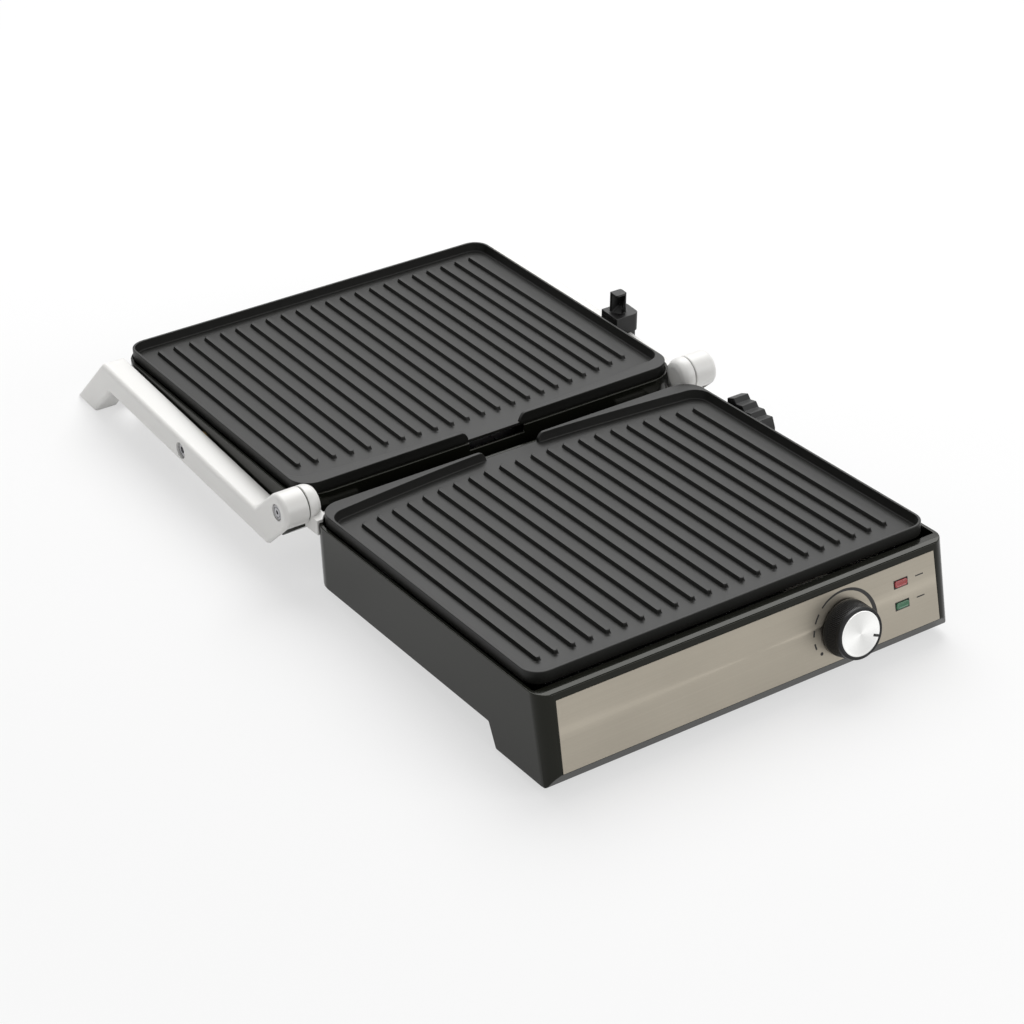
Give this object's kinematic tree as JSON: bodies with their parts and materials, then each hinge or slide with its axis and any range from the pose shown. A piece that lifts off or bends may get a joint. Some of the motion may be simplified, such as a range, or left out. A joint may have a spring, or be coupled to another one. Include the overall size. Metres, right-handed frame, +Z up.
{
  "type": "electric contact grill",
  "caption": "Electric contact grill opened flat: ribbed plates, lid on two hinged arms, control panel with knob and lamps, height clip.",
  "frame": {"origin": "middle of the outline, on the table that the feet and the arms' legs stand on", "axes": "+X to the right seen from the control panel, +Y from the panel to the hinge and lid, +Z up"},
  "size_m": [0.3361, 0.5764, 0.0719],
  "materials": {
    "housing_plastic": "glossy olive black",
    "cover_plastic": "matt black",
    "fascia_steel": "brushed along its length",
    "plate_aluminium": "cast, charcoal non-stick coat",
    "screw_steel": "plain",
    "element_steel": "oxidised tube",
    "reflector_steel": "bright sheet",
    "thermostat_ceramic": "white, glazed like steatite",
    "red_lens": "clear red",
    "green_lens": "clear green",
    "inner_plastic": "moulded",
    "black_rubber": "matt",
    "arm_metal": "silver-white lacquer",
    "washer_plastic": "plain",
    "grip_plastic": "soft black",
    "black_plastic": "satin black",
    "cover_steel": "brushed",
    "bush_brass": "plain",
    "knob_plastic": "satin black, fluted",
    "cap_metal": "spun, bright",
    "tray_steel": "plain sheet"
  },
  "bodies": {
    "base": {"base_shell": "housing_plastic", "base_bottom_cover": "cover_plastic", "control_fascia": "fascia_steel", "lower_plate": "plate_aluminium", "lower_plate_screws": "screw_steel", "lower_heating_element": "element_steel", "lower_reflector": "reflector_steel", "thermostat_body": "thermostat_ceramic", "red_lamp_lens": "red_lens", "green_lamp_lens": "green_lens", "lamp_holder": "inner_plastic", "terminal_block": "inner_plastic", "lower_thermal_fuse": "thermostat_ceramic", "cord_gland": "black_rubber", "left_hinge_bracket": "arm_metal", "right_hinge_bracket": "arm_metal", "bracket_screws": "screw_steel", "hinge_pins": "screw_steel", "hinge_end_screws": "screw_steel", "hinge_washers": "washer_plastic", "height_step_rack": "black_plastic", "front_feet": "black_rubber", "rear_feet": "black_rubber", "base_cover_screws": "screw_steel"},
    "arms": {"left_arm": "arm_metal", "right_arm": "arm_metal", "handle_grip": "grip_plastic", "handle_core": "screw_steel", "lid_pivot_screws": "screw_steel"},
    "lid": {"lid_shell": "housing_plastic", "lid_cover": "cover_steel", "upper_plate": "plate_aluminium", "upper_plate_screws": "screw_steel", "upper_heating_element": "element_steel", "upper_reflector": "reflector_steel", "upper_thermal_fuse": "thermostat_ceramic", "lid_pivot_bushes": "bush_brass"},
    "knob": {"thermostat_knob": "knob_plastic", "knob_cap": "cap_metal", "thermostat_shaft": "screw_steel"},
    "tray": {"drip_tray": "tray_steel"},
    "clip": {"height_clip": "black_plastic"}
  },
  "joints": [
    {"name": "arm_hinge", "type": "hinge", "parent": "base", "child": "arms", "pos_m": [0, -0.00175, 0.0548], "axis": [1, 0, 0], "range_deg": [0, 175.06]},
    {"name": "lid_pivot", "type": "hinge", "parent": "arms", "child": "lid", "pos_m": [0, 0.12796, 0.03458], "axis": [1, 0, 0], "range_deg": [0, 3.3]},
    {"name": "knob_turn", "type": "hinge", "parent": "base", "child": "knob", "pos_m": [0.066, -0.2703, 0.03483], "axis": [0, -0.9765, 0.2154], "range_deg": [-2, 234]},
    {"name": "tray_slide", "type": "slide", "parent": "base", "child": "tray", "axis": [0, 1, 0], "range_m": [0, 0.085]},
    {"name": "clip_slide", "type": "slide", "parent": "arms", "child": "clip", "axis": [0, 0.9997, 0.0234], "range_m": [-0.001, 0.017]}
  ],
  "couplings": [
    {"joint": "lid_pivot", "follows": "arm_hinge", "ratio": 0.018736}
  ]
}
